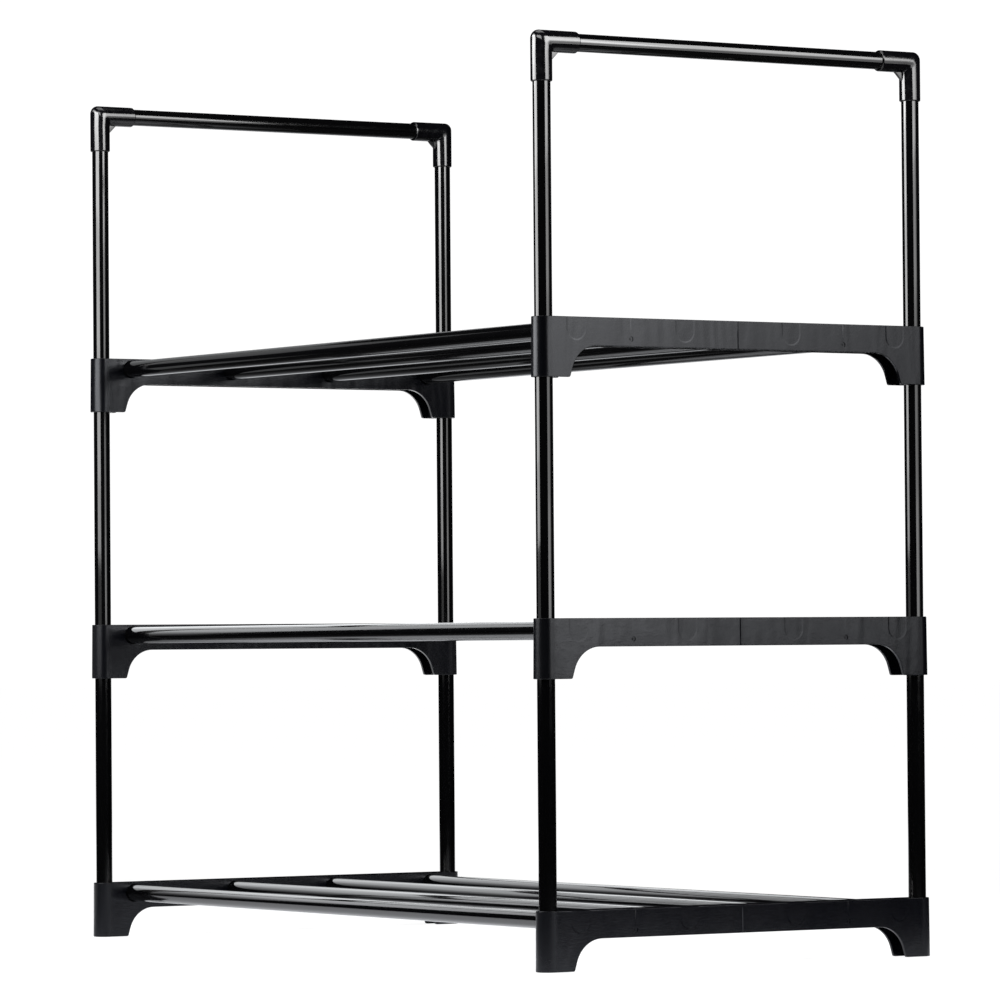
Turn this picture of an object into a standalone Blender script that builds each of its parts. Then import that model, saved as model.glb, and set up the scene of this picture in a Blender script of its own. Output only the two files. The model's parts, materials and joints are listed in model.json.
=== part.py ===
"""Tiered shoe rack: shelves of steel tube pushed into moulded side panels, with two carrying loops.

Every joint is a push fit and nothing moves. +X is the rack's right, -Y its front and +Z up. The
origin is on the floor, under the middle of the rack. Lengths are in metres.
"""

import math

import bmesh
import bpy
from mathutils import Matrix, Vector

# Steel tube, the same for the shelves, the uprights and the loops
TUBE_DIAMETER = 0.0127
TUBE_WALL = 0.0005

# The rack's layout, between the axes of its four corner posts
POST_SPACING_X = 0.645
POST_SPACING_Y = 0.320
TIER_PITCHES = (0.204, 0.211)
LOOP_RISE = 0.193  # from the top of the upper panels to the axis of the loops' cross tubes

# Side panel: a bottom-open moulding with a sleeve at each end, thicker towards the floor by its draft
PANEL_HEIGHT = 0.0425
BEAM_HEIGHT = 0.0201
PANEL_TOP_RADIUS = 0.0085
PANEL_FOOT_RADIUS = 0.0089
PANEL_WALL = 0.0020
STOP_WEB = 0.0020  # closes each sleeve at mid-height, where the uprights stop

# The arch between a panel's two legs
ARCH_RADIUS = 0.0220
ARCH_CENTRE_FROM_POST = 0.0397
ARCH_LEAN = math.radians(17)  # how far a leg's edge leans from upright below the arc
LEG_CORNER_RADIUS = 0.0015

# The four sockets of a panel, for the shelf tubes
SOCKET_COUNT = 4
SOCKET_FROM_POST = 0.0220
SOCKET_DROP = 0.0084  # from the panel's top to the socket's axis
SOCKET_WALL = 0.0015

# Stiffening ribs across the panel's hollow, midway between the sockets
RIB_THICKNESS = 0.0012
RIB_RECESS = 0.0010  # how far the ribs stop above the beam's underside

# Elbow at each corner of a loop
ELBOW_DIAMETER = 0.0154
ELBOW_ARM = 0.0285  # from the corner of the axes to the end of an arm
ELBOW_SOCKET_DEPTH = 0.0200
ELBOW_CORNER_RADIUS = 0.0055
ELBOW_INNER_RADIUS = 0.0008
ELBOW_END_BEVEL = 0.0010
GUSSET_LEG = 0.0060
GUSSET_THICKNESS = 0.0024

# Meshes
FIT_GAP = 0.0003
SIDES = 24
ARC_STEPS = 6
OVERSHOOT = 0.0020  # how far a cutter runs past the face that it opens

# Worked out from the sizes above
TUBE_RADIUS = TUBE_DIAMETER / 2
BORE_RADIUS = TUBE_RADIUS + FIT_GAP
SLEEVE_OUTER_RADIUS = BORE_RADIUS + PANEL_WALL
SOCKET_BOSS_RADIUS = BORE_RADIUS + SOCKET_WALL
BEAM_UNDERSIDE = PANEL_HEIGHT - BEAM_HEIGHT
HOLLOW_HALF_WIDTH = PANEL_TOP_RADIUS - PANEL_WALL
HOLLOW_TOP = PANEL_HEIGHT - PANEL_WALL
SEAT_DEPTH = (PANEL_HEIGHT - STOP_WEB) / 2
HALF_X = POST_SPACING_X / 2
HALF_Y = POST_SPACING_Y / 2
TIER_BASES = (0.0, TIER_PITCHES[0], TIER_PITCHES[0] + TIER_PITCHES[1])
LOOP_AXIS_HEIGHT = TIER_BASES[-1] + PANEL_HEIGHT + LOOP_RISE
UPRIGHT_LENGTH = min(TIER_PITCHES) - PANEL_HEIGHT + 2 * (SEAT_DEPTH - FIT_GAP)
LOOP_TUBE_LENGTH = POST_SPACING_Y - 2 * (ELBOW_ARM - ELBOW_SOCKET_DEPTH + FIT_GAP)

SIDE_NAMES = {-1: "left", 1: "right"}
END_NAMES = {-1: "front", 1: "rear"}


def clear_scene():
    for obj in list(bpy.data.objects):
        bpy.data.objects.remove(obj, do_unlink=True)


def principled(name, colour, roughness, metallic=0.0):
    material = bpy.data.materials.new(name)
    material.use_nodes = True
    shader = material.node_tree.nodes["Principled BSDF"]
    shader.inputs["Base Color"].default_value = (*colour, 1.0)
    shader.inputs["Roughness"].default_value = roughness
    shader.inputs["Metallic"].default_value = metallic
    return material


def mesh_from(shape, name):
    """Turns a bmesh into a mesh with its faces outward, smooth but for its sharp edges."""
    bmesh.ops.recalc_face_normals(shape, faces=shape.faces)
    mesh = bpy.data.meshes.new(name)
    shape.to_mesh(mesh)
    shape.free()
    mesh.shade_smooth()
    mesh.set_sharp_from_angle(angle=math.radians(30))
    return mesh


def loft(rings, name):
    """A closed solid through rings of points, one ring after the other, with flat ends."""
    shape = bmesh.new()
    rows = [[shape.verts.new(point) for point in ring] for ring in rings]
    for low, high in zip(rows, rows[1:]):
        for i in range(len(low)):
            j = (i + 1) % len(low)
            shape.faces.new((low[i], low[j], high[j], high[i]))
    shape.faces.new(rows[0][::-1])
    shape.faces.new(rows[-1])
    return mesh_from(shape, name)


def prism_across_x(outline, half_width, name):
    """A solid with the outline given as (y, z) points, running from -half_width to +half_width in X."""
    return loft([[Vector((x, y, z)) for y, z in outline] for x in (-half_width, half_width)], name)


def cylinder(start, end, radius, name):
    axis = Vector(end) - Vector(start)
    shape = bmesh.new()
    bmesh.ops.create_cone(
        shape, cap_ends=True, segments=SIDES, radius1=radius, radius2=radius, depth=axis.length
    )
    place = Matrix.Translation((Vector(start) + Vector(end)) / 2)
    turn = Vector((0, 0, 1)).rotation_difference(axis).to_matrix().to_4x4()
    bmesh.ops.transform(shape, matrix=place @ turn, verts=shape.verts)
    return mesh_from(shape, name)


def tube_mesh(length, name):
    """A hollow tube along Z, centred on its own origin."""
    shape = bmesh.new()
    inner = TUBE_RADIUS - TUBE_WALL
    corners = ((TUBE_RADIUS, -1), (TUBE_RADIUS, 1), (inner, 1), (inner, -1))
    section = [shape.verts.new((radius, 0, end * length / 2)) for radius, end in corners]
    edges = [shape.edges.new((section[i - 1], section[i])) for i in range(len(section))]
    bmesh.ops.spin(
        shape, geom=section + edges, cent=(0, 0, 0), axis=(0, 0, 1), angle=math.tau, steps=SIDES,
        use_merge=True, use_duplicate=False,
    )
    bmesh.ops.remove_doubles(shape, verts=shape.verts, dist=1e-6)
    return mesh_from(shape, name)


def combine(base, steps, name):
    """Applies Boolean steps, each an (operation, mesh) pair, to a base mesh and returns the result."""
    target = bpy.data.objects.new(name + "_base", base)
    bpy.context.scene.collection.objects.link(target)
    helpers = [target]
    for operation, mesh in steps:
        helper = bpy.data.objects.new(mesh.name, mesh)
        helper.hide_render = True
        helper.display_type = "WIRE"
        bpy.context.scene.collection.objects.link(helper)
        helpers.append(helper)
        modifier = target.modifiers.new(mesh.name, "BOOLEAN")
        modifier.operation = operation
        modifier.solver = "EXACT"
        modifier.object = helper
    bpy.context.view_layer.update()
    graph = bpy.context.evaluated_depsgraph_get()
    result = bpy.data.meshes.new_from_object(target.evaluated_get(graph), depsgraph=graph)
    for helper in helpers:
        bpy.data.objects.remove(helper, do_unlink=True)
    shape = bmesh.new()
    shape.from_mesh(result)
    bmesh.ops.remove_doubles(shape, verts=shape.verts, dist=1e-6)
    bmesh.ops.dissolve_degenerate(shape, dist=1e-6, edges=shape.edges)
    return mesh_from(shape, name)


def half_thickness(z):
    """Half the panel's thickness at height z above its feet."""
    return PANEL_FOOT_RADIUS + (PANEL_TOP_RADIUS - PANEL_FOOT_RADIUS) * z / PANEL_HEIGHT


def arc(centre_y, centre_z, radius, start, end, steps=ARC_STEPS):
    angles = [start + (end - start) * i / steps for i in range(steps + 1)]
    return [(centre_y + radius * math.cos(a), centre_z + radius * math.sin(a)) for a in angles]


def panel_ring(z):
    """The panel's outside at height z: straight faces, and half rounds about the post axes."""
    radius = half_thickness(z)
    half_turn = SIDES // 2
    ends = arc(0, HALF_Y, radius, 0, math.pi, half_turn) + arc(
        0, -HALF_Y, radius, math.pi, math.tau, half_turn
    )
    return [Vector((x, y, z)) for x, y in ends]


def hollow_ring(z):
    """The panel's hollow at height z: it ends on the round backs of the two sleeves."""
    reach = math.asin(HOLLOW_HALF_WIDTH / SLEEVE_OUTER_RADIUS)
    up, down = math.pi / 2, -math.pi / 2
    ends = arc(0, -HALF_Y, SLEEVE_OUTER_RADIUS, up - reach, up + reach) + arc(
        0, HALF_Y, SLEEVE_OUTER_RADIUS, down - reach, down + reach
    )
    return [Vector((x, y, z)) for x, y in ends]


def arch_outline():
    """The opening between the legs, as (y, z) points from below the front leg to below the rear leg."""
    centre = ARCH_CENTRE_FROM_POST - HALF_Y
    centre_z = BEAM_UNDERSIDE - ARCH_RADIUS
    bow = arc(centre, centre_z, ARCH_RADIUS, math.pi - ARCH_LEAN, math.pi / 2)
    low_y, low_z = bow[0]
    corner = low_y - low_z * math.tan(ARCH_LEAN)
    tangent = LEG_CORNER_RADIUS * math.tan((math.pi / 2 - ARCH_LEAN) / 2)
    foot = arc(
        corner - tangent, LEG_CORNER_RADIUS, LEG_CORNER_RADIUS, -math.pi / 2, -ARCH_LEAN, ARC_STEPS // 2
    )
    front = [(foot[0][0], -OVERSHOOT)] + foot + bow
    return front + [(-y, z) for y, z in reversed(front)]


def socket_positions():
    """The sockets' places along the panel, from front to rear."""
    span = POST_SPACING_Y - 2 * SOCKET_FROM_POST
    return [-span / 2 + span * i / (SOCKET_COUNT - 1) for i in range(SOCKET_COUNT)]


def rib_positions():
    """Midway between neighbouring sockets."""
    sockets = socket_positions()
    return [(front + rear) / 2 for front, rear in zip(sockets, sockets[1:])]


def rib_mesh(y):
    """A rib that reaches into both faces and the top of the panel."""
    front, rear = y - RIB_THICKNESS / 2, y + RIB_THICKNESS / 2
    low, high = BEAM_UNDERSIDE + RIB_RECESS, HOLLOW_TOP + PANEL_WALL / 2
    outline = [(front, low), (rear, low), (rear, high), (front, high)]
    return prism_across_x(outline, HOLLOW_HALF_WIDTH + PANEL_WALL / 2, "rib")


def side_panel_mesh():
    """A right-hand panel: its feet at z = 0, its outer face to +X and its sockets open to -X."""
    past_face = PANEL_FOOT_RADIUS + OVERSHOOT
    socket_z = PANEL_HEIGHT - SOCKET_DROP
    socket_end = half_thickness(socket_z) - PANEL_WALL
    boss_end = HOLLOW_HALF_WIDTH + PANEL_WALL / 2
    steps = [("DIFFERENCE", loft([hollow_ring(-OVERSHOOT), hollow_ring(HOLLOW_TOP)], "hollow"))]
    for y in socket_positions():
        boss = cylinder((-boss_end, y, socket_z), (boss_end, y, socket_z), SOCKET_BOSS_RADIUS, "boss")
        steps.append(("UNION", boss))
    for y in rib_positions():
        steps.append(("UNION", rib_mesh(y)))
    for y in socket_positions():
        socket = cylinder((-past_face, y, socket_z), (socket_end, y, socket_z), BORE_RADIUS, "socket")
        steps.append(("DIFFERENCE", socket))
    for y in (-HALF_Y, HALF_Y):
        for low, high in ((-OVERSHOOT, SEAT_DEPTH), (PANEL_HEIGHT - SEAT_DEPTH, PANEL_HEIGHT + OVERSHOOT)):
            steps.append(("DIFFERENCE", cylinder((0, y, low), (0, y, high), BORE_RADIUS, "sleeve_bore")))
    steps.append(("DIFFERENCE", prism_across_x(arch_outline(), past_face, "arch")))
    outside = loft([panel_ring(0), panel_ring(PANEL_HEIGHT)], "panel_outside")
    return combine(outside, steps, "side_panel")


def elbow_section(centre, direction, half_height, half_width=ELBOW_DIAMETER / 2):
    """An elliptical ring across the elbow: half_height along direction, half_width along X."""
    angles = [math.tau * i / SIDES for i in range(SIDES)]
    return [
        centre + direction * half_height * math.cos(a) + Vector((half_width * math.sin(a), 0, 0))
        for a in angles
    ]


def elbow_arm_rings(towards, outward):
    """The bevelled mouth of an arm and the ring behind the bevel."""
    radius = ELBOW_DIAMETER / 2
    mouth = radius - ELBOW_END_BEVEL
    return [
        elbow_section(towards * ELBOW_ARM, outward, mouth, mouth),
        elbow_section(towards * (ELBOW_ARM - ELBOW_END_BEVEL), outward, radius),
    ]


def elbow_bend_rings():
    """Rings fanning out from the inner corner to the outer one, which is square but for its rounding."""
    inner = ELBOW_INNER_RADIUS
    pivot = ELBOW_DIAMETER / 2 + inner
    reach = ELBOW_DIAMETER + inner
    rounding = arc(
        reach - ELBOW_CORNER_RADIUS, reach - ELBOW_CORNER_RADIUS, ELBOW_CORNER_RADIUS, 0, math.pi / 2
    )
    rings = []
    for forward, up in [(reach, 0)] + rounding + [(0, reach)]:
        outer = math.hypot(forward, up)
        direction = Vector((0, -forward, up)) / outer
        centre = Vector((0, pivot, -pivot)) + direction * (outer + inner) / 2
        rings.append(elbow_section(centre, direction, (outer - inner) / 2))
    return rings


def gusset_mesh():
    """The web in the elbow's inner corner, running back into both arms."""
    radius = ELBOW_DIAMETER / 2
    root, tip = radius / 2, radius + GUSSET_LEG
    outline = [(root, -root), (tip, -root), (tip, -radius), (radius, -tip), (root, -tip)]
    return prism_across_x(outline, GUSSET_THICKNESS / 2, "gusset")


def elbow_mesh():
    """A front elbow about the corner of its axes: one arm down, the other towards +Y."""
    down, rear = Vector((0, 0, -1)), Vector((0, 1, 0))
    post_arm = elbow_arm_rings(down, -rear)
    loop_arm = elbow_arm_rings(rear, -down)
    outside = loft(post_arm + elbow_bend_rings() + loop_arm[::-1], "elbow_outside")
    floor, past_end = ELBOW_ARM - ELBOW_SOCKET_DEPTH, ELBOW_ARM + OVERSHOOT
    steps = [
        ("UNION", gusset_mesh()),
        ("DIFFERENCE", cylinder(down * past_end, down * floor, BORE_RADIUS, "post_socket")),
        ("DIFFERENCE", cylinder(rear * floor, rear * past_end, BORE_RADIUS, "loop_socket")),
    ]
    return combine(outside, steps, "elbow")


def place(name, mesh, material, location, rotation=(0, 0, 0)):
    obj = bpy.data.objects.new(name, mesh)
    if not mesh.materials:
        mesh.materials.append(material)
    obj.location = location
    obj.rotation_euler = rotation
    bpy.context.scene.collection.objects.link(obj)
    return obj


def add_side_panels(material):
    mesh = side_panel_mesh()
    for tier, base in enumerate(TIER_BASES, 1):
        for side, side_name in SIDE_NAMES.items():
            name = f"side_panel_tier{tier}_{side_name}"
            turn = 0 if side > 0 else math.pi
            place(name, mesh, material, (side * HALF_X, 0, base), (0, 0, turn))


def add_shelf_tubes(material):
    """The left panel is the right one turned half round, so both sets of sockets line up."""
    socket_z = PANEL_HEIGHT - SOCKET_DROP
    socket_floor = HALF_X + half_thickness(socket_z) - PANEL_WALL
    mesh = tube_mesh(2 * (socket_floor - FIT_GAP), "shelf_tube")
    for tier, base in enumerate(TIER_BASES, 1):
        for number, y in enumerate(socket_positions(), 1):
            name = f"shelf_tube_tier{tier}_{number}"
            place(name, mesh, material, (0, y, base + socket_z), (0, math.pi / 2, 0))


def add_uprights(material):
    """All uprights are the same length, each centred between the two mouths that it stands in."""
    mesh = tube_mesh(UPRIGHT_LENGTH, "upright")
    tops = [base + PANEL_HEIGHT for base in TIER_BASES]
    mouths = list(zip(tops, TIER_BASES[1:] + (LOOP_AXIS_HEIGHT - ELBOW_ARM,)))
    for level, (low, high) in enumerate(mouths, 1):
        for side, side_name in SIDE_NAMES.items():
            for end, end_name in END_NAMES.items():
                name = f"upright_level{level}_{end_name}_{side_name}"
                place(name, mesh, material, (side * HALF_X, end * HALF_Y, (low + high) / 2))


def add_loops(tube_material, elbow_material):
    tube = tube_mesh(LOOP_TUBE_LENGTH, "loop_tube")
    elbow = elbow_mesh()
    for side, side_name in SIDE_NAMES.items():
        corner = (side * HALF_X, 0, LOOP_AXIS_HEIGHT)
        place(f"loop_tube_{side_name}", tube, tube_material, corner, (math.pi / 2, 0, 0))
        for end, end_name in END_NAMES.items():
            turn = 0 if end < 0 else math.pi
            corner = (side * HALF_X, end * HALF_Y, LOOP_AXIS_HEIGHT)
            place(f"elbow_{end_name}_{side_name}", elbow, elbow_material, corner, (0, 0, turn))


clear_scene()
painted_steel = principled("black_painted_steel", (0.012, 0.012, 0.013), 0.18)
panel_plastic = principled("dark_grey_plastic", (0.030, 0.031, 0.034), 0.55)
elbow_plastic = principled("black_gloss_plastic", (0.014, 0.014, 0.015), 0.28)
add_side_panels(panel_plastic)
add_shelf_tubes(painted_steel)
add_uprights(painted_steel)
add_loops(painted_steel, elbow_plastic)
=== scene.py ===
"""Looks of the tiered shoe rack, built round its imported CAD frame.

Each CAD node is replaced by a finer mesh of the same size in the same place. Lengths are in metres.
"""

import json
import math

import bmesh
import bpy
from mathutils import Matrix, Vector

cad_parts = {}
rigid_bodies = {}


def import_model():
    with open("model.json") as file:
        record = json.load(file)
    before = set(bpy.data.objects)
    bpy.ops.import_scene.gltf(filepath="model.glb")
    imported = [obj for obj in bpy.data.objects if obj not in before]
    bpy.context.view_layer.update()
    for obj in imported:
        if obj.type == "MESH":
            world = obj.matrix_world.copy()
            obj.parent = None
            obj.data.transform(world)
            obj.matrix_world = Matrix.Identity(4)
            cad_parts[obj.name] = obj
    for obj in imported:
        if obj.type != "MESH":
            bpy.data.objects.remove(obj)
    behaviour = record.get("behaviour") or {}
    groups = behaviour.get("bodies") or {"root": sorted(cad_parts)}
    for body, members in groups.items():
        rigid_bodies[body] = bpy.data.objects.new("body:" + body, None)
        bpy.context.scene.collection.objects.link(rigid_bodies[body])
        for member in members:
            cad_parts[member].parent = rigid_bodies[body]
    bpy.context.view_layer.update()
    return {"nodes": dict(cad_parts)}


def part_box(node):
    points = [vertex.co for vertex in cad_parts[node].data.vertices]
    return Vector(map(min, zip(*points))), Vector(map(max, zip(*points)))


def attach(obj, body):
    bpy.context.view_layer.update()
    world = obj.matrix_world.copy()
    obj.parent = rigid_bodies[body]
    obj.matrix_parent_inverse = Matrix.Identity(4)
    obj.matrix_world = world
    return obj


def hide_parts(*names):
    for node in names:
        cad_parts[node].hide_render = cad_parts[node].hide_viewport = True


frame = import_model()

# Mesh fineness
SIDES = 64
ARC_STEPS = 14
SHARP_ANGLE = math.radians(38)
OVERSHOOT = 0.0020
MERGE_DISTANCE = 1e-6

# Steel tube
TUBE_WALL = 0.0005
TUBE_LIP = 0.00018

# Side panel
PANEL_TOP_RADIUS = 0.0085
PANEL_FOOT_RADIUS = 0.0089
PANEL_WALL = 0.0020
STOP_WEB = 0.0020
BEAM_HEIGHT = 0.0201
ARCH_RADIUS = 0.0220
ARCH_CENTRE_FROM_POST = 0.0397
ARCH_LEAN = math.radians(17)
LEG_CORNER_RADIUS = 0.0015
EDGE_FILLET = 0.00045
SOCKET_COUNT = 4
SOCKET_FROM_POST = 0.0220
SOCKET_DROP = 0.0084
SOCKET_WALL = 0.0015
MOUTH_CHAMFER = 0.0004
RIB_THICKNESS = 0.0012
RIB_RECESS = 0.0010
FIT_GAP = 0.0003

# Which faces of the bare panel belong to its outside
MOST_UPWARD = 0.3
LEAST_SIDEWAYS = 0.5
SKIN_TOLERANCE = 0.0003

# Moulding marks on a panel's outer face
SINK_HALF_WIDTH = 0.0087
SINK_SLOPE = 0.0016
SINK_DEPTH = 0.00010
SINK_STEPS = 5
SINK_RUN_OUT = (1.2, -2.0)
SINK_ARM_STATIONS = (-0.0020, 0.0006, 0.0012, 0.0024, 0.0048)
WELD_RUN_IN = 0.0010
WELD_DEPTH = 0.00014
WELD_FAR_WALL = 0.00012
FLOW_LINE_RUN_IN = 0.0007
FLOW_LINE_DEPTH = 0.00004
GATE_RADIUS = 0.0018
GATE_FLARE = 1.15
GATE_DEPTH = 0.00060
GATE_NUB_RADIUS = 0.0009
GATE_NUB_TAPER = 0.8
GATE_NUB_SUNK = 0.2
GATE_ABOVE_UNDERSIDE = 0.0052

# Elbow
ELBOW_DIAMETER = 0.0154
ELBOW_ARM = 0.0285
ELBOW_SOCKET_DEPTH = 0.0200
ELBOW_CORNER_RADIUS = 0.0055
ELBOW_INNER_RADIUS = 0.0008
ELBOW_MOUTH_ROUNDING = 0.0009
GUSSET_EDGE = 0.0004
GUSSET_LEG = 0.0060
GUSSET_THICKNESS = 0.0024

# Colours
PAINT_BLACK = (0.0007, 0.0007, 0.0008)
PAINT_NIB = (0.006, 0.006, 0.007)
PANEL_DARK = (0.0010, 0.0012, 0.0022)
PANEL_LIGHT = (0.0018, 0.0020, 0.0034)
PANEL_SPECK = (0.0080, 0.0084, 0.0110)
ELBOW_DARK = (0.0007, 0.0007, 0.0010)
ELBOW_LIGHT = (0.0014, 0.0014, 0.0019)
WHITE_LIGHT = (1.0, 1.0, 1.0)
COOL_LIGHT = (0.96, 0.98, 1.0)

# How far a material's pattern moves with its piece, as multiples of the piece's place
PIECE_SHIFT = (3.7, 5.3, 7.1)

# The panels' sleeves are a little rougher than the faces between them
SLEEVE_BLEND = 0.004
SLEEVE_ROUGHNESS = 0.09

# Softboxes: the two ends of each on the floor plan
FRONT_ENDS = ((0.26, -0.80), (-0.38, -0.81))
RIGHT_ENDS = ((1.29, 0.61), (1.70, 0.08))
RIGHT_EDGE_ENDS = ((1.13, 0.82), (1.29, 0.61))
LEFT_ENDS = ((-1.35, -0.80), (-1.35, 0.95))
FILL_FRONT_RIGHT_ENDS = ((2.30, -0.90), (0.90, -2.30))
FILL_FRONT_LEFT_ENDS = ((-0.20, -2.20), (-1.60, -1.70))

# Stage
FLOOR_RADIUS = 40.0
FLOOR_HEIGHT = -0.0006
SHEET_RADIUS = 6.0
SHEET_HEIGHT = -0.0012
BACKDROP_RADIUS = 30.0
BOUNCE_HEIGHT = 0.001
ENERGY_PER_RADIANCE = 4.0  # watts of an area light, for each square metre and unit of radiance
GLOSSY_PIECES = ("shelf_tube", "loop_tube", "upright", "elbow")

# Camera, placed in the frame of the rack
CAMERA_PLACE = Vector((3.6873, -2.3405, 0.2278))
CAMERA_YAW = math.radians(57.501)
CAMERA_PITCH = math.radians(1.450)
CAMERA_ROLL = math.radians(-0.4372)
CAMERA_LENS = 206.82


# ---- Sizes read from the frame ----

def size_of(node):
    low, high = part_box(node)
    return high - low


def middle_of(node):
    low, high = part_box(node)
    return (low + high) / 2


PANEL_SIZE = size_of("side_panel_tier1_right")
TUBE_RADIUS = size_of("shelf_tube_tier1_1").z / 2
PANEL_HEIGHT = PANEL_SIZE.z
HALF_Y = PANEL_SIZE.y / 2 - PANEL_FOOT_RADIUS
BORE_RADIUS = TUBE_RADIUS + FIT_GAP
SLEEVE_OUTER_RADIUS = BORE_RADIUS + PANEL_WALL
SOCKET_BOSS_RADIUS = BORE_RADIUS + SOCKET_WALL
BEAM_UNDERSIDE = PANEL_HEIGHT - BEAM_HEIGHT
HOLLOW_HALF_WIDTH = PANEL_TOP_RADIUS - PANEL_WALL
HOLLOW_TOP = PANEL_HEIGHT - PANEL_WALL
SEAT_DEPTH = (PANEL_HEIGHT - STOP_WEB) / 2
SOCKET_HEIGHT = PANEL_HEIGHT - SOCKET_DROP
OUTWARDS = Vector((1, 0, 0))


# ---- Mesh tools ----

def finished(shape, name):
    """Turns a bmesh into a mesh with outward faces, smooth but for its sharp edges."""
    bmesh.ops.recalc_face_normals(shape, faces=shape.faces)
    mesh = bpy.data.meshes.new(name)
    shape.to_mesh(mesh)
    shape.free()
    mesh.shade_smooth()
    mesh.set_sharp_from_angle(angle=SHARP_ANGLE)
    return mesh


def loft(rings, name):
    """A closed solid through rings of points, with flat ends."""
    shape = bmesh.new()
    rows = [[shape.verts.new(point) for point in ring] for ring in rings]
    for low, high in zip(rows, rows[1:]):
        for i in range(len(low)):
            j = (i + 1) % len(low)
            shape.faces.new((low[i], low[j], high[j], high[i]))
    shape.faces.new(rows[0][::-1])
    shape.faces.new(rows[-1])
    return finished(shape, name)


def lathe(profile, start, direction, name):
    """A solid turned about the line from start along direction.

    The profile lists (radius, distance) points. It is closed by flat ends.
    """
    turn = Vector((0, 0, 1)).rotation_difference(Vector(direction)).to_matrix()
    angles = [math.tau * i / SIDES for i in range(SIDES)]
    rings = [
        [
            Vector(start) + turn @ Vector((r * math.cos(a), r * math.sin(a), along))
            for a in angles
        ]
        for r, along in profile
    ]
    return loft(rings, name)


def prism_across_x(outline, half_width, name):
    """A solid with the outline given as (y, z) points, running from -half_width to +half_width in X."""
    return loft([[Vector((x, y, z)) for y, z in outline] for x in (-half_width, half_width)], name)


def combine(base, steps, name):
    """Applies Boolean steps, each an (operation, mesh) pair, to a base mesh and returns a bmesh."""
    target = bpy.data.objects.new(name + "_base", base)
    bpy.context.scene.collection.objects.link(target)
    helpers = [target]
    for operation, mesh in steps:
        helper = bpy.data.objects.new(mesh.name, mesh)
        bpy.context.scene.collection.objects.link(helper)
        helpers.append(helper)
        modifier = target.modifiers.new(mesh.name, "BOOLEAN")
        modifier.operation = operation
        modifier.solver = "EXACT"
        modifier.object = helper
    bpy.context.view_layer.update()
    graph = bpy.context.evaluated_depsgraph_get()
    result = bpy.data.meshes.new_from_object(target.evaluated_get(graph), depsgraph=graph)
    for helper in helpers:
        bpy.data.objects.remove(helper, do_unlink=True)
    shape = bmesh.new()
    shape.from_mesh(result)
    bpy.data.meshes.remove(result)
    bmesh.ops.remove_doubles(shape, verts=shape.verts, dist=MERGE_DISTANCE)
    bmesh.ops.dissolve_degenerate(shape, dist=MERGE_DISTANCE, edges=shape.edges)
    return shape


# ---- Tubes ----

def quarter(centre_r, centre_z, radius, start, steps=4):
    """Points (radius, height) round a quarter circle from the angle start, turning backwards."""
    angles = [start - math.pi / 2 * i / steps for i in range(steps + 1)]
    return [(centre_r + radius * math.cos(a), centre_z + radius * math.sin(a)) for a in angles]


def tube_mesh(length, name):
    """A hollow tube along Z with slightly rounded lips, centred on its own origin."""
    outer, inner, end, lip = TUBE_RADIUS, TUBE_RADIUS - TUBE_WALL, length / 2, TUBE_LIP
    top = quarter(inner + lip, end - lip, lip, math.pi) + quarter(outer - lip, end - lip, lip, math.pi / 2)
    profile = top + [(r, -z) for r, z in reversed(top)]
    shape = bmesh.new()
    rows = []
    for i in range(SIDES):
        a = math.tau * i / SIDES
        rows.append([shape.verts.new((r * math.cos(a), r * math.sin(a), z)) for r, z in profile])
    for i in range(SIDES):
        here, there = rows[i], rows[(i + 1) % SIDES]
        for j in range(len(profile)):
            k = (j + 1) % len(profile)
            shape.faces.new((here[j], there[j], there[k], here[k]))
    return finished(shape, name)


# ---- Side panel ----

def half_thickness(z):
    """Half the panel's thickness at height z above its feet."""
    return PANEL_FOOT_RADIUS + (PANEL_TOP_RADIUS - PANEL_FOOT_RADIUS) * z / PANEL_HEIGHT


def arc(centre_y, centre_z, radius, start, end, steps=ARC_STEPS):
    angles = [start + (end - start) * i / steps for i in range(steps + 1)]
    return [(centre_y + radius * math.cos(a), centre_z + radius * math.sin(a)) for a in angles]


def panel_ring(z):
    """The panel's outside at height z: straight faces, and half rounds about the post axes."""
    radius = half_thickness(z)
    half_turn = SIDES // 2
    ends = arc(0, HALF_Y, radius, 0, math.pi, half_turn) + arc(
        0, -HALF_Y, radius, math.pi, math.tau, half_turn
    )
    return [Vector((x, y, z)) for x, y in ends]


def hollow_ring(z):
    """The panel's hollow at height z: it ends on the round backs of the two sleeves."""
    reach = math.asin(HOLLOW_HALF_WIDTH / SLEEVE_OUTER_RADIUS)
    up, down = math.pi / 2, -math.pi / 2
    ends = arc(0, -HALF_Y, SLEEVE_OUTER_RADIUS, up - reach, up + reach) + arc(
        0, HALF_Y, SLEEVE_OUTER_RADIUS, down - reach, down + reach
    )
    return [Vector((x, y, z)) for x, y in ends]


def arch_outline():
    """The opening between the legs, as (y, z) points from below the front leg to below the rear leg."""
    centre = ARCH_CENTRE_FROM_POST - HALF_Y
    centre_z = BEAM_UNDERSIDE - ARCH_RADIUS
    bow = arc(centre, centre_z, ARCH_RADIUS, math.pi - ARCH_LEAN, math.pi / 2)
    low_y, low_z = bow[0]
    corner = low_y - low_z * math.tan(ARCH_LEAN)
    tangent = LEG_CORNER_RADIUS * math.tan((math.pi / 2 - ARCH_LEAN) / 2)
    foot = arc(
        corner - tangent, LEG_CORNER_RADIUS, LEG_CORNER_RADIUS, -math.pi / 2, -ARCH_LEAN, ARC_STEPS // 2
    )
    front = [(foot[0][0], -OVERSHOOT)] + foot + bow
    return front + [(-y, z) for y, z in reversed(front)]


def socket_positions():
    span = 2 * HALF_Y - 2 * SOCKET_FROM_POST
    return [-span / 2 + span * i / (SOCKET_COUNT - 1) for i in range(SOCKET_COUNT)]


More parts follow.
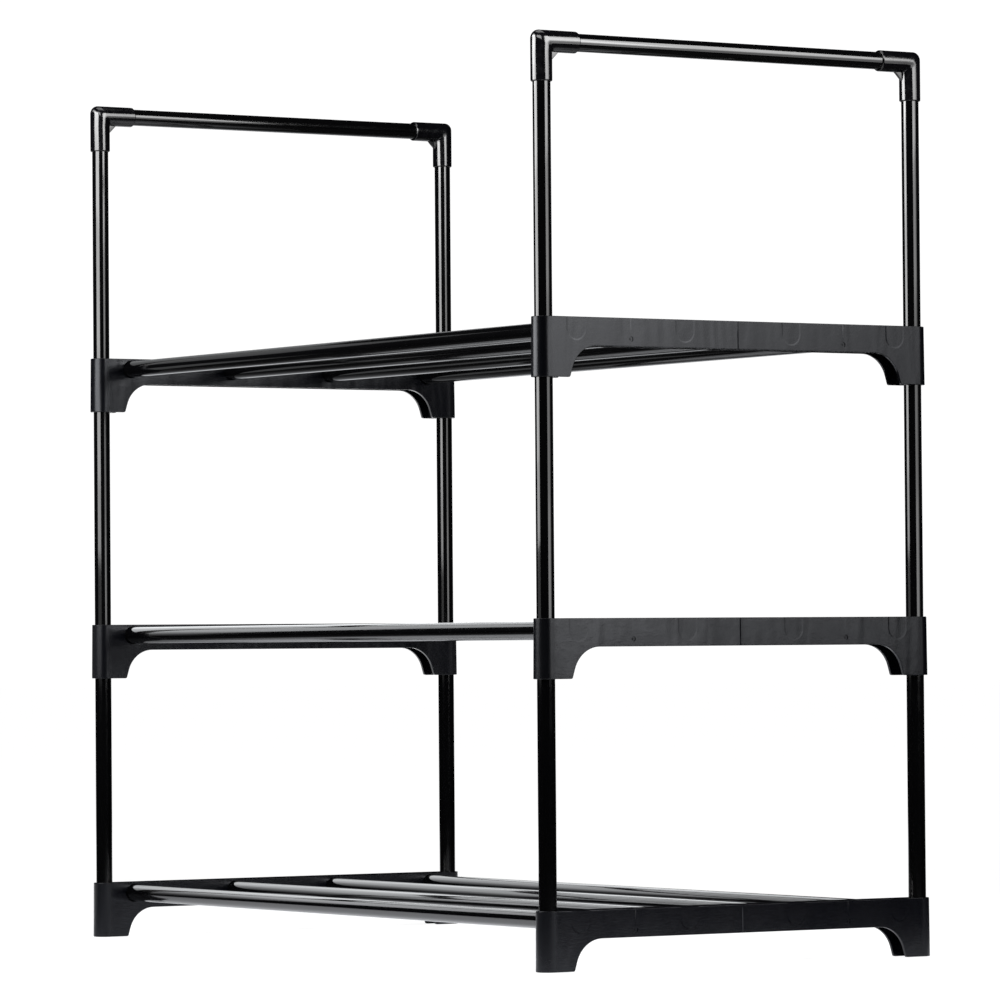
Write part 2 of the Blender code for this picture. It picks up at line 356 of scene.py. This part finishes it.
def bay_middles():
    sockets = socket_positions()
    return [(front + rear) / 2 for front, rear in zip(sockets, sockets[1:])]


def on_skin(face):
    """Whether a face of the bare panel belongs to its drafted outside."""
    centre = face.calc_center_median()
    level = abs(face.normal.z) > MOST_UPWARD
    across = abs(face.normal.x) < LEAST_SIDEWAYS and abs(centre.y) < HALF_Y
    if level or across:
        return False
    beyond = max(0.0, abs(centre.y) - HALF_Y)
    return math.hypot(centre.x, beyond) > half_thickness(centre.z) - SKIN_TOLERANCE


def bare_panel():
    """The panel's outside, hollow and arch, with the outer edges rounded over."""
    past_face = PANEL_FOOT_RADIUS + OVERSHOOT
    outside = loft([panel_ring(0), panel_ring(PANEL_HEIGHT)], "panel_outside")
    steps = [
        ("DIFFERENCE", loft([hollow_ring(-OVERSHOOT), hollow_ring(HOLLOW_TOP)], "hollow")),
        ("DIFFERENCE", prism_across_x(arch_outline(), past_face, "arch")),
    ]
    shape = combine(outside, steps, "bare_panel")
    shape.normal_update()
    rim = [
        edge
        for edge in shape.edges
        if len(edge.link_faces) == 2 and on_skin(edge.link_faces[0]) != on_skin(edge.link_faces[1])
    ]
    bmesh.ops.bevel(
        shape, geom=rim, offset=EDGE_FILLET, offset_type="OFFSET", segments=3, profile=0.5,
        affect="EDGES", clamp_overlap=False,
    )
    bmesh.ops.remove_doubles(shape, verts=shape.verts, dist=MERGE_DISTANCE)
    return finished(shape, "bare_panel")


def on_face(y, z, outwards):
    """A point on the drafted outer face, or a little outwards from it."""
    return Vector((half_thickness(z) + outwards, y, z))


def sink_cutter(y):
    """The slight sink where a socket thickens the wall behind: U-shaped, running out over the top edge."""
    levels = [(i / SINK_STEPS, 1 - math.sin(math.pi * i / SINK_STEPS / 2)) for i in range(SINK_STEPS)]
    rings = []
    for out, sunk in levels + [SINK_RUN_OUT]:
        reach = SINK_HALF_WIDTH - SINK_SLOPE * (1 - out)
        bowl = arc(y, SOCKET_HEIGHT, reach, math.pi, math.tau)
        heights = [PANEL_HEIGHT - drop for drop in SINK_ARM_STATIONS]
        outline = [(y - reach, z) for z in heights] + bowl + [(y + reach, z) for z in heights[::-1]]
        rings.append([on_face(a, z, -SINK_DEPTH * sunk) for a, z in outline])
    return loft(rings, "sink_mark")


def line_cutter(y, low, high, run_in, depth):
    """A shallow upright line: the face dips over run_in towards y, and ends at a steep wall."""
    section = [(y - run_in * 2, depth), (y, -depth), (y + WELD_FAR_WALL, depth)]
    return loft([[on_face(a, z, rise) for a, rise in section] for z in (low, high)], "line")


def bore_profile(depth):
    """A bore with a chamfered mouth at distance 0."""
    return [
        (BORE_RADIUS + MOUTH_CHAMFER + OVERSHOOT, -OVERSHOOT),
        (BORE_RADIUS, MOUTH_CHAMFER),
        (BORE_RADIUS, depth),
    ]


def boss_and_rib_steps():
    """The round bosses behind the sockets, and the ribs between them."""
    boss_end = HOLLOW_HALF_WIDTH + PANEL_WALL / 2
    steps = []
    for y in socket_positions():
        profile = [(SOCKET_BOSS_RADIUS, 0), (SOCKET_BOSS_RADIUS, 2 * boss_end)]
        steps.append(("UNION", lathe(profile, (-boss_end, y, SOCKET_HEIGHT), OUTWARDS, "boss")))
    for y in bay_middles():
        front, rear = y - RIB_THICKNESS / 2, y + RIB_THICKNESS / 2
        low, high = BEAM_UNDERSIDE + RIB_RECESS, HOLLOW_TOP + PANEL_WALL / 2
        outline = [(front, low), (rear, low), (rear, high), (front, high)]
        steps.append(("UNION", prism_across_x(outline, boss_end, "rib")))
    return steps


def socket_steps():
    """The sockets for the shelf tubes, each with the sink that it leaves on the outer face."""
    face = half_thickness(SOCKET_HEIGHT)
    steps = []
    for y in socket_positions():
        socket = lathe(bore_profile(2 * face - PANEL_WALL), (-face, y, SOCKET_HEIGHT), OUTWARDS, "socket")
        steps.append(("DIFFERENCE", socket))
        steps.append(("DIFFERENCE", sink_cutter(y)))
    return steps


def sleeve_steps():
    """The bores for the uprights, from below and from above, with a web left between them."""
    profile = bore_profile(SEAT_DEPTH)
    steps = []
    for y in (-HALF_Y, HALF_Y):
        steps.append(("DIFFERENCE", lathe(profile, (0, y, 0), (0, 0, 1), "lower_bore")))
        steps.append(("DIFFERENCE", lathe(profile, (0, y, PANEL_HEIGHT), (0, 0, -1), "upper_bore")))
    return steps


def weld_and_gate_steps():
    """The weld line at mid-length, and the gate marks with their flow lines in the outer bays."""
    under, over = BEAM_UNDERSIDE - OVERSHOOT, PANEL_HEIGHT + OVERSHOOT
    gate_z = BEAM_UNDERSIDE + GATE_ABOVE_UNDERSIDE
    gate_face = half_thickness(gate_z)
    recess = [(GATE_RADIUS, -GATE_DEPTH), (GATE_RADIUS * GATE_FLARE, OVERSHOOT)]
    nub = [
        (GATE_NUB_RADIUS, -GATE_DEPTH * 2),
        (GATE_NUB_RADIUS * GATE_NUB_TAPER, -GATE_DEPTH * GATE_NUB_SUNK),
    ]
    steps = [("DIFFERENCE", line_cutter(0, under, over, WELD_RUN_IN, WELD_DEPTH))]
    for y in (bay_middles()[0], bay_middles()[-1]):
        flow_line = line_cutter(y, gate_z + GATE_RADIUS, over, FLOW_LINE_RUN_IN, FLOW_LINE_DEPTH)
        steps.append(("DIFFERENCE", flow_line))
        steps.append(("DIFFERENCE", lathe(recess, (gate_face, y, gate_z), OUTWARDS, "gate_recess")))
        steps.append(("UNION", lathe(nub, (gate_face, y, gate_z), OUTWARDS, "gate_nub")))
    return steps


def side_panel_mesh():
    """A right-hand panel: its feet at z = 0, its outer face to +X and its sockets open to -X."""
    steps = boss_and_rib_steps() + socket_steps() + sleeve_steps() + weld_and_gate_steps()
    return finished(combine(bare_panel(), steps, "side_panel"), "side_panel")


# ---- Elbow ----

def elbow_section(centre, direction, half_height, half_width=ELBOW_DIAMETER / 2):
    """An elliptical ring across the elbow: half_height along direction, half_width along X."""
    angles = [math.tau * i / SIDES for i in range(SIDES)]
    return [
        centre + direction * half_height * math.cos(a) + Vector((half_width * math.sin(a), 0, 0))
        for a in angles
    ]


def elbow_arm_rings(towards, outward):
    """The rounded mouth of an arm, from its end inwards."""
    radius = ELBOW_DIAMETER / 2
    rounding = quarter(radius - ELBOW_MOUTH_ROUNDING, 0, ELBOW_MOUTH_ROUNDING, math.pi / 2)
    base = ELBOW_ARM - ELBOW_MOUTH_ROUNDING
    return [elbow_section(towards * (base + rise), outward, reach, reach) for reach, rise in rounding]


def elbow_bend_rings():
    """Rings fanning out from the inner corner to the outer one, which is square but for its rounding."""
    inner = ELBOW_INNER_RADIUS
    pivot = ELBOW_DIAMETER / 2 + inner
    reach = ELBOW_DIAMETER + inner
    rounding = arc(
        reach - ELBOW_CORNER_RADIUS, reach - ELBOW_CORNER_RADIUS, ELBOW_CORNER_RADIUS, 0, math.pi / 2
    )
    rings = []
    for forward, up in [(reach, 0)] + rounding + [(0, reach)]:
        outer = math.hypot(forward, up)
        direction = Vector((0, -forward, up)) / outer
        centre = Vector((0, pivot, -pivot)) + direction * (outer + inner) / 2
        rings.append(elbow_section(centre, direction, (outer - inner) / 2))
    return rings


def gusset_mesh():
    """The web in the elbow's inner corner, with rounded edges, running back into both arms."""
    radius = ELBOW_DIAMETER / 2
    root, tip = radius / 2, radius + GUSSET_LEG
    outline = [(root, -root), (tip, -root), (tip, -radius), (radius, -tip), (root, -tip)]
    mesh = prism_across_x(outline, GUSSET_THICKNESS / 2, "gusset")
    shape = bmesh.new()
    shape.from_mesh(mesh)
    bmesh.ops.bevel(
        shape, geom=shape.edges, offset=GUSSET_EDGE, segments=2, profile=0.5, affect="EDGES",
        offset_type="OFFSET", clamp_overlap=False,
    )
    return finished(shape, "gusset")


def elbow_mesh():
    """A front elbow about the corner of its axes: one arm down, the other towards +Y."""
    down, rear = Vector((0, 0, -1)), Vector((0, 1, 0))
    post_arm = elbow_arm_rings(down, -rear)
    loop_arm = elbow_arm_rings(rear, -down)
    outside = loft(post_arm + elbow_bend_rings() + loop_arm[::-1], "elbow_outside")
    shape = bmesh.new()
    shape.from_mesh(outside)
    bmesh.ops.triangulate(shape, faces=[f for f in shape.faces if len(f.verts) == 4])
    outside = finished(shape, "elbow_outside")
    socket = [(BORE_RADIUS, -OVERSHOOT), (BORE_RADIUS, ELBOW_SOCKET_DEPTH)]
    steps = [
        ("UNION", gusset_mesh()),
        ("DIFFERENCE", lathe(socket, down * ELBOW_ARM, -down, "post_socket")),
        ("DIFFERENCE", lathe(socket, rear * ELBOW_ARM, -rear, "loop_socket")),
    ]
    return finished(combine(outside, steps, "elbow"), "elbow")


# ---- Materials ----

class Nodes:
    """Builds one material's node tree."""

    def __init__(self, name):
        self.material = bpy.data.materials.new(name)
        self.material.use_nodes = True
        self.tree = self.material.node_tree
        self.shader = self.tree.nodes["Principled BSDF"]

    def add(self, kind, **inputs):
        node = self.tree.nodes.new(kind)
        for key, value in inputs.items():
            self.set(node, key, value)
        return node

    def set(self, node, key, value):
        """Sets an input or links to it. The key is its name, or i and its number, such as i0."""
        socket = node.inputs[int(key[1:])] if key[0] == "i" and key[1:].isdigit() else node.inputs[key]
        if isinstance(value, bpy.types.NodeSocket):
            self.tree.links.new(value, socket)
        else:
            socket.default_value = value

    def maths(self, operation, a, b=0.0):
        node = self.add("ShaderNodeMath", i0=a, i1=b)
        node.operation = operation
        return node.outputs[0]

    def piece_coordinates(self, stretch=(1.0, 1.0, 1.0)):
        """Coordinates fixed to each piece and shifted from piece to piece, so that no two look alike."""
        where = self.add("ShaderNodeTexCoord").outputs["Object"]
        place = self.add("ShaderNodeObjectInfo").outputs["Location"]
        shift = self.add("ShaderNodeVectorMath", i0=place, i1=PIECE_SHIFT)
        shift.operation = "MULTIPLY"
        moved = self.add("ShaderNodeVectorMath", i0=where, i1=shift.outputs[0])
        moved.operation = "ADD"
        scaled = self.add("ShaderNodeVectorMath", i0=moved.outputs[0], i1=stretch)
        scaled.operation = "MULTIPLY"
        return scaled.outputs[0]

    def noise(self, vector, scale, detail=2.0, roughness=0.5, distortion=0.0):
        node = self.add(
            "ShaderNodeTexNoise", Vector=vector, Scale=scale, Detail=detail, Roughness=roughness,
            Distortion=distortion,
        )
        return node.outputs["Fac"]

    def spread(self, value, source, result, smooth=False):
        """Maps the source range of a value to the result range."""
        node = self.add(
            "ShaderNodeMapRange", Value=value, **{
                "From Min": source[0], "From Max": source[1], "To Min": result[0], "To Max": result[1],
            },
        )
        node.interpolation_type = "SMOOTHSTEP" if smooth else "LINEAR"
        return node.outputs["Result"]

    def mix(self, factor, a, b):
        node = self.add("ShaderNodeMix")
        node.data_type = "RGBA"
        self.set(node, "i0", factor)
        self.set(node, "i6", (*a, 1.0) if isinstance(a, tuple) else a)
        self.set(node, "i7", (*b, 1.0) if isinstance(b, tuple) else b)
        return node.outputs[2]

    def bump(self, height, distance, after=None):
        """A bump of this distance in metres, laid over the bump given as after."""
        node = self.add("ShaderNodeBump", Height=height, Distance=distance, Strength=1.0)
        if after is not None:
            self.set(node, "Normal", after)
        return node.outputs["Normal"]


def gloss_paint():
    """Black stoved paint on steel: deep gloss with slight orange peel and a few dust nibs."""
    n = Nodes("gloss_black_paint")
    where = n.piece_coordinates()
    peel = n.noise(where, scale=620.0, detail=2.0, roughness=0.55)
    nibs = n.spread(n.noise(where, scale=2600.0, detail=1.0), (0.70, 0.80), (0.0, 1.0))
    haze = n.noise(where, scale=45.0, detail=3.0, roughness=0.6)
    n.set(n.shader, "Base Color", n.mix(nibs, PAINT_BLACK, PAINT_NIB))
    n.set(n.shader, "Roughness", n.spread(haze, (0.3, 0.7), (0.06, 0.10)))
    fine = n.bump(nibs, distance=0.000002)
    n.set(n.shader, "Normal", n.bump(peel, distance=0.000003, after=fine))
    n.shader.inputs["IOR"].default_value = 1.52
    return n.material


def satin_plastic():
    """Dark grey polypropylene with a fine moulded grain and faint flow bands."""
    n = Nodes("satin_dark_grey_plastic")
    where = n.piece_coordinates()
    along_flow = n.piece_coordinates(stretch=(1.0, 1.0, 0.22))
    along_beam = n.piece_coordinates(stretch=(1.0, 0.35, 2.6))
    bands = n.noise(along_flow, scale=42.0, detail=2.0, roughness=0.5, distortion=0.3)
    clouds = n.noise(where, scale=95.0, detail=3.0, roughness=0.6)
    streaks = n.noise(along_beam, scale=420.0, detail=2.0, roughness=0.6)
    grain = n.noise(where, scale=1100.0, detail=2.0, roughness=0.65)
    tone = n.maths("ADD", n.maths("MULTIPLY", bands, 0.6), n.maths("MULTIPLY", clouds, 0.4))
    base = n.mix(n.spread(tone, (0.35, 0.65), (0.0, 1.0)), PANEL_DARK, PANEL_LIGHT)
    speck = n.spread(grain, (0.62, 0.75), (0.0, 0.35))
    n.set(n.shader, "Base Color", n.mix(speck, base, PANEL_SPECK))
    on_piece = n.add("ShaderNodeTexCoord").outputs["Object"]
    from_middle = n.maths("ABSOLUTE", n.add("ShaderNodeSeparateXYZ", Vector=on_piece).outputs["Y"])
    sleeve = n.spread(from_middle, (HALF_Y - SLEEVE_BLEND, HALF_Y), (0.0, SLEEVE_ROUGHNESS), smooth=True)
    n.set(n.shader, "Roughness", n.maths("ADD", n.spread(tone, (0.3, 0.7), (0.23, 0.17)), sleeve))
    broad = n.bump(bands, distance=0.0008)
    coarse = n.bump(clouds, distance=0.00009, after=broad)
    drawn = n.bump(streaks, distance=0.000022, after=coarse)
    n.set(n.shader, "Normal", n.bump(grain, distance=0.00002, after=drawn))
    n.shader.inputs["IOR"].default_value = 1.49
    n.shader.inputs["Specular IOR Level"].default_value = 0.32
    n.shader.inputs["Specular Tint"].default_value = (0.93, 0.95, 1.0, 1.0)
    return n.material


def gloss_plastic():
    """Black moulded plastic, a little softer in gloss than the paint."""
    n = Nodes("semi_gloss_black_plastic")
    where = n.piece_coordinates()
    ripple = n.noise(where, scale=210.0, detail=2.0, roughness=0.5)
    grain = n.noise(where, scale=1700.0, detail=2.0, roughness=0.6)
    n.set(n.shader, "Base Color", n.mix(ripple, ELBOW_DARK, ELBOW_LIGHT))
    n.set(n.shader, "Roughness", n.spread(ripple, (0.3, 0.7), (0.10, 0.17)))
    coarse = n.bump(ripple, distance=0.000012)
    n.set(n.shader, "Normal", n.bump(grain, distance=0.000004, after=coarse))
    n.shader.inputs["IOR"].default_value = 1.50
    return n.material


# ---- Pieces ----

def add_piece(node, mesh, material, place, turn=(0, 0, 0)):
    """A fine mesh that stands for one CAD node."""
    piece = bpy.data.objects.new(f"{node}_visual", mesh)
    if not mesh.materials:
        mesh.materials.append(material)
    piece.location = place
    piece.rotation_euler = turn
    bpy.context.scene.collection.objects.link(piece)
    normals = piece.modifiers.new("face_weighted_normals", "WEIGHTED_NORMAL")
    normals.keep_sharp = True
    normals.weight = 80
    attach(piece, "root")
    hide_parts(node)
    return piece


def add_tubes(nodes, material):
    """Tubes of one length share a mesh. Each lies along its box's longest side."""
    meshes = {}
    for node in nodes:
        size = size_of(node)
        length = max(size)
        key = round(length, 5)
        if key not in meshes:
            meshes[key] = tube_mesh(length, f"tube_{round(length * 1000)}")
        turn = {
            size.x: (0, math.pi / 2, 0),
            size.y: (math.pi / 2, 0, 0),
            size.z: (0, 0, 0),
        }[length]
        add_piece(node, meshes[key], material, middle_of(node), turn)


def add_panels(nodes, material):
    mesh = side_panel_mesh()
    for node in nodes:
        low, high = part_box(node)
        place = Vector(((low.x + high.x) / 2, (low.y + high.y) / 2, low.z))
        turn = (0, 0, 0 if place.x > 0 else math.pi)
        add_piece(node, mesh, material, place, turn)


def add_elbows(nodes, material):
    mesh = elbow_mesh()
    radius = ELBOW_DIAMETER / 2
    for node in nodes:
        low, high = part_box(node)
        front = (low.y + high.y) / 2 < 0
        corner_y = low.y + radius if front else high.y - radius
        place = Vector(((low.x + high.x) / 2, corner_y, high.z - radius))
        add_piece(node, mesh, material, place, (0, 0, 0 if front else math.pi))


# ---- Stage ----

def stage_mesh(name, shape, material):
    """A piece of the studio, which isn't part of the rack."""
    mesh = bpy.data.meshes.new(name)
    shape.to_mesh(mesh)
    shape.free()
    mesh.materials.append(material)
    obj = bpy.data.objects.new(name, mesh)
    bpy.context.scene.collection.objects.link(obj)
    return obj


def disc(radius, height):
    shape = bmesh.new()
    bmesh.ops.create_circle(shape, cap_ends=True, segments=96, radius=radius)
    bmesh.ops.translate(shape, verts=shape.verts, vec=(0, 0, height))
    return shape


def seen_only_directly(obj):
    obj.visible_glossy = False
    obj.visible_diffuse = False
    obj.visible_shadow = False


def only_on(name, starts=("",), also=()):
    """The pieces whose names start so, and the other objects given, for a light flagged off the rest."""
    group = bpy.data.collections.new(name)
    for obj in also:
        group.objects.link(obj)
    for obj in bpy.context.scene.collection.all_objects:
        if obj.name.startswith(starts) and obj.name.endswith("_visual"):
            group.objects.link(obj)
    return group


def lamp(name, centre, turn, size, radiance, tint=WHITE_LIGHT, lit=None):
    """A rectangular light of even radiance. A group given as lit is all that it lights."""
    light = bpy.data.lights.new(name, "AREA")
    light.shape = "RECTANGLE"
    light.size, light.size_y = size
    light.energy = ENERGY_PER_RADIANCE * light.size * light.size_y * radiance
    light.color = tint
    obj = bpy.data.objects.new(name, light)
    obj.location = centre
    obj.rotation_euler = turn
    obj.visible_camera = False
    if lit is not None:
        obj.light_linking.receiver_collection = lit
    bpy.context.scene.collection.objects.link(obj)


def softbox(name, ends, bands, tint=WHITE_LIGHT, lit=None):
    """An upright softbox between two points on the floor plan, facing the side on their right hand.

    The bands list (bottom, top, radiance) up the softbox, because its glow changes with height.
    """
    left, right = (Vector((*end, 0)) for end in ends)
    across = right - left
    turn = (math.pi / 2, 0, math.atan2(-across.y, -across.x))
    for number, (bottom, top, radiance) in enumerate(bands, 1):
        centre = (left + right) / 2 + Vector((0, 0, (bottom + top) / 2))
        lamp(f"{name}_{number}", centre, turn, (across.length, top - bottom), radiance, tint, lit)


def bounce(name, place, size, radiance, lit):
    """Light that the floor throws up, from a rectangle with its centre at place on the floor plan."""
    lamp(name, (*place, BOUNCE_HEIGHT), (math.pi, 0, 0), size, radiance, lit=lit)


def distance_from(look, centre=(0.0, 0.0), squeeze=(1.0, 1.0)):
    """How far a point of a stage piece is from a centre on the floor plan, squeezed along X and Y."""
    place = look.add("ShaderNodeTexCoord").outputs["Object"]
    centred = look.add("ShaderNodeVectorMath", i0=place, i1=(*centre, 0.0))
    centred.operation = "SUBTRACT"
    squeezed = look.add("ShaderNodeVectorMath", i0=centred.outputs[0], i1=(*squeeze, 0.0))
    squeezed.operation = "MULTIPLY"
    away = look.add("ShaderNodeVectorMath", i0=squeezed.outputs[0])
    away.operation = "LENGTH"
    return away.outputs["Value"]


def matte(look, colour, glow_colour, glow):
    """Sets a look to a dull surface of this colour that also glows."""
    look.set(look.shader, "Base Color", colour)
    look.set(look.shader, "Roughness", 1.0)
    look.set(look.shader, "Specular IOR Level", 0.0)
    look.set(look.shader, "Emission Color", glow_colour)
    look.set(look.shader, "Emission Strength", glow)


def add_world():
    world = bpy.data.worlds.new("studio")
    world.use_nodes = True
    world.node_tree.nodes["Background"].inputs["Color"].default_value = (0.008, 0.008, 0.009, 1.0)
    bpy.context.scene.world = world


def add_floor():
    """The floor that the camera sees. It casts no light on the rack. Its glow is painted light, fainter near
    the rack where the lamps also light it, and full further out.
    """
    look = Nodes("pale_floor")
    # Painted light: the glow is 0.92 within 0.8 m of the rack and rises to full 2.6 m out, standing in for
    # lamp light where it fades.
    glow = look.spread(distance_from(look), (0.8, 2.6), (0.92, 1.0), smooth=True)
    matte(look, (0.25, 0.25, 0.25, 1.0), (1.0, 1.0, 1.0, 1.0), glow)
    floor = stage_mesh("floor", disc(FLOOR_RADIUS, FLOOR_HEIGHT), look.material)
    seen_only_directly(floor)
    return floor


def add_sheet():
    """The white sheet, hidden from the camera, that lights the rack from below and from the left."""
    look = Nodes("white_sheet")
    under_rack = distance_from(look, centre=(0.02, 0.0), squeeze=(0.65, 1.35))
    white = look.spread(under_rack, (0.36, 0.60), (1.0, 0.0), smooth=True)
    beside_rack = distance_from(look, centre=(-1.75, 0.85))
    left = look.spread(beside_rack, (0.55, 1.40), (0.85, 0.0), smooth=True)
    colour = look.mix(white, (0.04, 0.04, 0.04), (0.72, 0.73, 0.76))
    glow = look.maths("ADD", look.maths("MULTIPLY", white, 0.48), left)
    matte(look, colour, (0.94, 0.96, 1.0, 1.0), glow)
    sheet = stage_mesh("white_sheet", disc(SHEET_RADIUS, SHEET_HEIGHT), look.material)
    sheet.visible_camera = False
    return sheet


def add_backdrop():
    look = Nodes("white_backdrop")
    look.set(look.shader, "Base Color", (0.0, 0.0, 0.0, 1.0))
    look.set(look.shader, "Emission Color", (1.0, 1.0, 1.0, 1.0))
    look.set(look.shader, "Emission Strength", 1.05)
    shape = bmesh.new()
    bmesh.ops.create_uvsphere(shape, u_segments=48, v_segments=24, radius=BACKDROP_RADIUS)
    seen_only_directly(stage_mesh("backdrop", shape, look.material))


def add_key_lights(floor, sheet):
    """Lights on the sides that the camera sees. Two bright upper parts are flagged off the panels."""
    not_panels = only_on("tubes_elbows_and_stage", GLOSSY_PIECES, (floor, sheet))
    softbox("softbox_front", FRONT_ENDS, (
        (0.20, 0.31, 0.5), (0.31, 0.38, 4.6), (0.38, 0.50, 6.2), (0.50, 0.62, 7.2), (0.62, 0.70, 10.0),
    ))
    softbox("softbox_front_top", FRONT_ENDS, ((0.70, 1.05, 16.0),), lit=not_panels)
    softbox("softbox_right", RIGHT_ENDS, (
        (0.22, 0.36, 3.4), (0.36, 0.55, 2.4), (0.55, 0.68, 3.6), (0.68, 0.78, 7.4),
    ))
    softbox("softbox_right_top", RIGHT_ENDS, ((0.78, 1.60, 13.0),), lit=not_panels)
    softbox("softbox_right_edge", RIGHT_EDGE_ENDS, (
        (0.22, 0.36, 1.9), (0.36, 0.55, 1.4), (0.55, 0.68, 2.2), (0.68, 0.78, 4.6), (0.78, 1.60, 8.0),
    ))
    lower = only_on("lower_shelf_tubes", ("shelf_tube_tier1", "shelf_tube_tier2"))
    softbox("softbox_left", LEFT_ENDS, (
        (0.12, 0.30, 0.2), (0.30, 0.45, 0.7), (0.45, 0.60, 1.3), (0.60, 0.85, 2.2), (0.85, 1.30, 1.9),
    ), COOL_LIGHT, lower)
    upper = only_on("upper_shelf_tubes", ("shelf_tube_tier3",))
    softbox("softbox_left_upper", LEFT_ENDS, ((0.02, 0.30, 0.35), (0.80, 1.25, 0.40)), COOL_LIGHT, upper)


def add_fill_lights():
    """Fill and bounce for the sides that face away from the camera."""
    rack = only_on("rack")
    glossy = only_on("tubes_and_elbows", GLOSSY_PIECES)
    softbox("fill_front_right", FILL_FRONT_RIGHT_ENDS, ((1.20, 2.40, 6.0),), lit=glossy)
    softbox("fill_front_left", FILL_FRONT_LEFT_ENDS, ((1.30, 2.40, 5.0),), lit=rack)
    lamp("fill_overhead", (0.0, 0.0, 2.40), (0, 0, 0), (1.4, 1.4), 2.0, lit=rack)
    left_panels = tuple(f"side_panel_tier{tier}_left" for tier in (1, 2, 3))
    bounced = only_on("lit_by_bounce", ("upright_level2", "upright_level3") + left_panels)
    bounce("bounce_left", (-1.65, 0.0), (2.3, 5.2), 1.2, bounced)
    bounce("bounce_rear", (1.15, 1.55), (3.3, 2.1), 0.9, bounced)
    right_panels = only_on("right_panels", tuple(f"side_panel_tier{tier}_right" for tier in (1, 2, 3)))
    bounce("bounce_right", (1.50, -1.50), (2.0, 1.9), 0.25, right_panels)


def add_stage():
    add_world()
    floor = add_floor()
    sheet = add_sheet()
    add_backdrop()
    add_key_lights(floor, sheet)
    add_fill_lights()


def add_camera():
    yaw, pitch, roll = CAMERA_YAW, CAMERA_PITCH, CAMERA_ROLL
    forward = Vector((-math.sin(yaw) * math.cos(pitch), math.cos(yaw) * math.cos(pitch), math.sin(pitch)))
    level = Vector((math.cos(yaw), math.sin(yaw), 0))
    upright = level.cross(forward)
    right = level * math.cos(roll) + upright * math.sin(roll)
    up = upright * math.cos(roll) - level * math.sin(roll)
    data = bpy.data.cameras.new("camera")
    data.sensor_width = 36.0
    data.lens = CAMERA_LENS
    data.clip_end = 100.0
    camera = bpy.data.objects.new("camera", data)
    turn = Matrix((right, up, -forward)).transposed().to_4x4()
    camera.matrix_world = Matrix.Translation(CAMERA_PLACE) @ turn
    bpy.context.scene.collection.objects.link(camera)
    bpy.context.scene.camera = camera


# ---- Scene ----

names = sorted(frame["nodes"])
add_tubes([name for name in names if name.startswith(("shelf_tube", "upright", "loop_tube"))], gloss_paint())
add_panels([name for name in names if name.startswith("side_panel")], satin_plastic())
add_elbows([name for name in names if name.startswith("elbow")], gloss_plastic())
add_stage()
add_camera()
bpy.context.scene.view_settings.view_transform = "Standard"
bpy.context.scene.view_settings.look = "None"
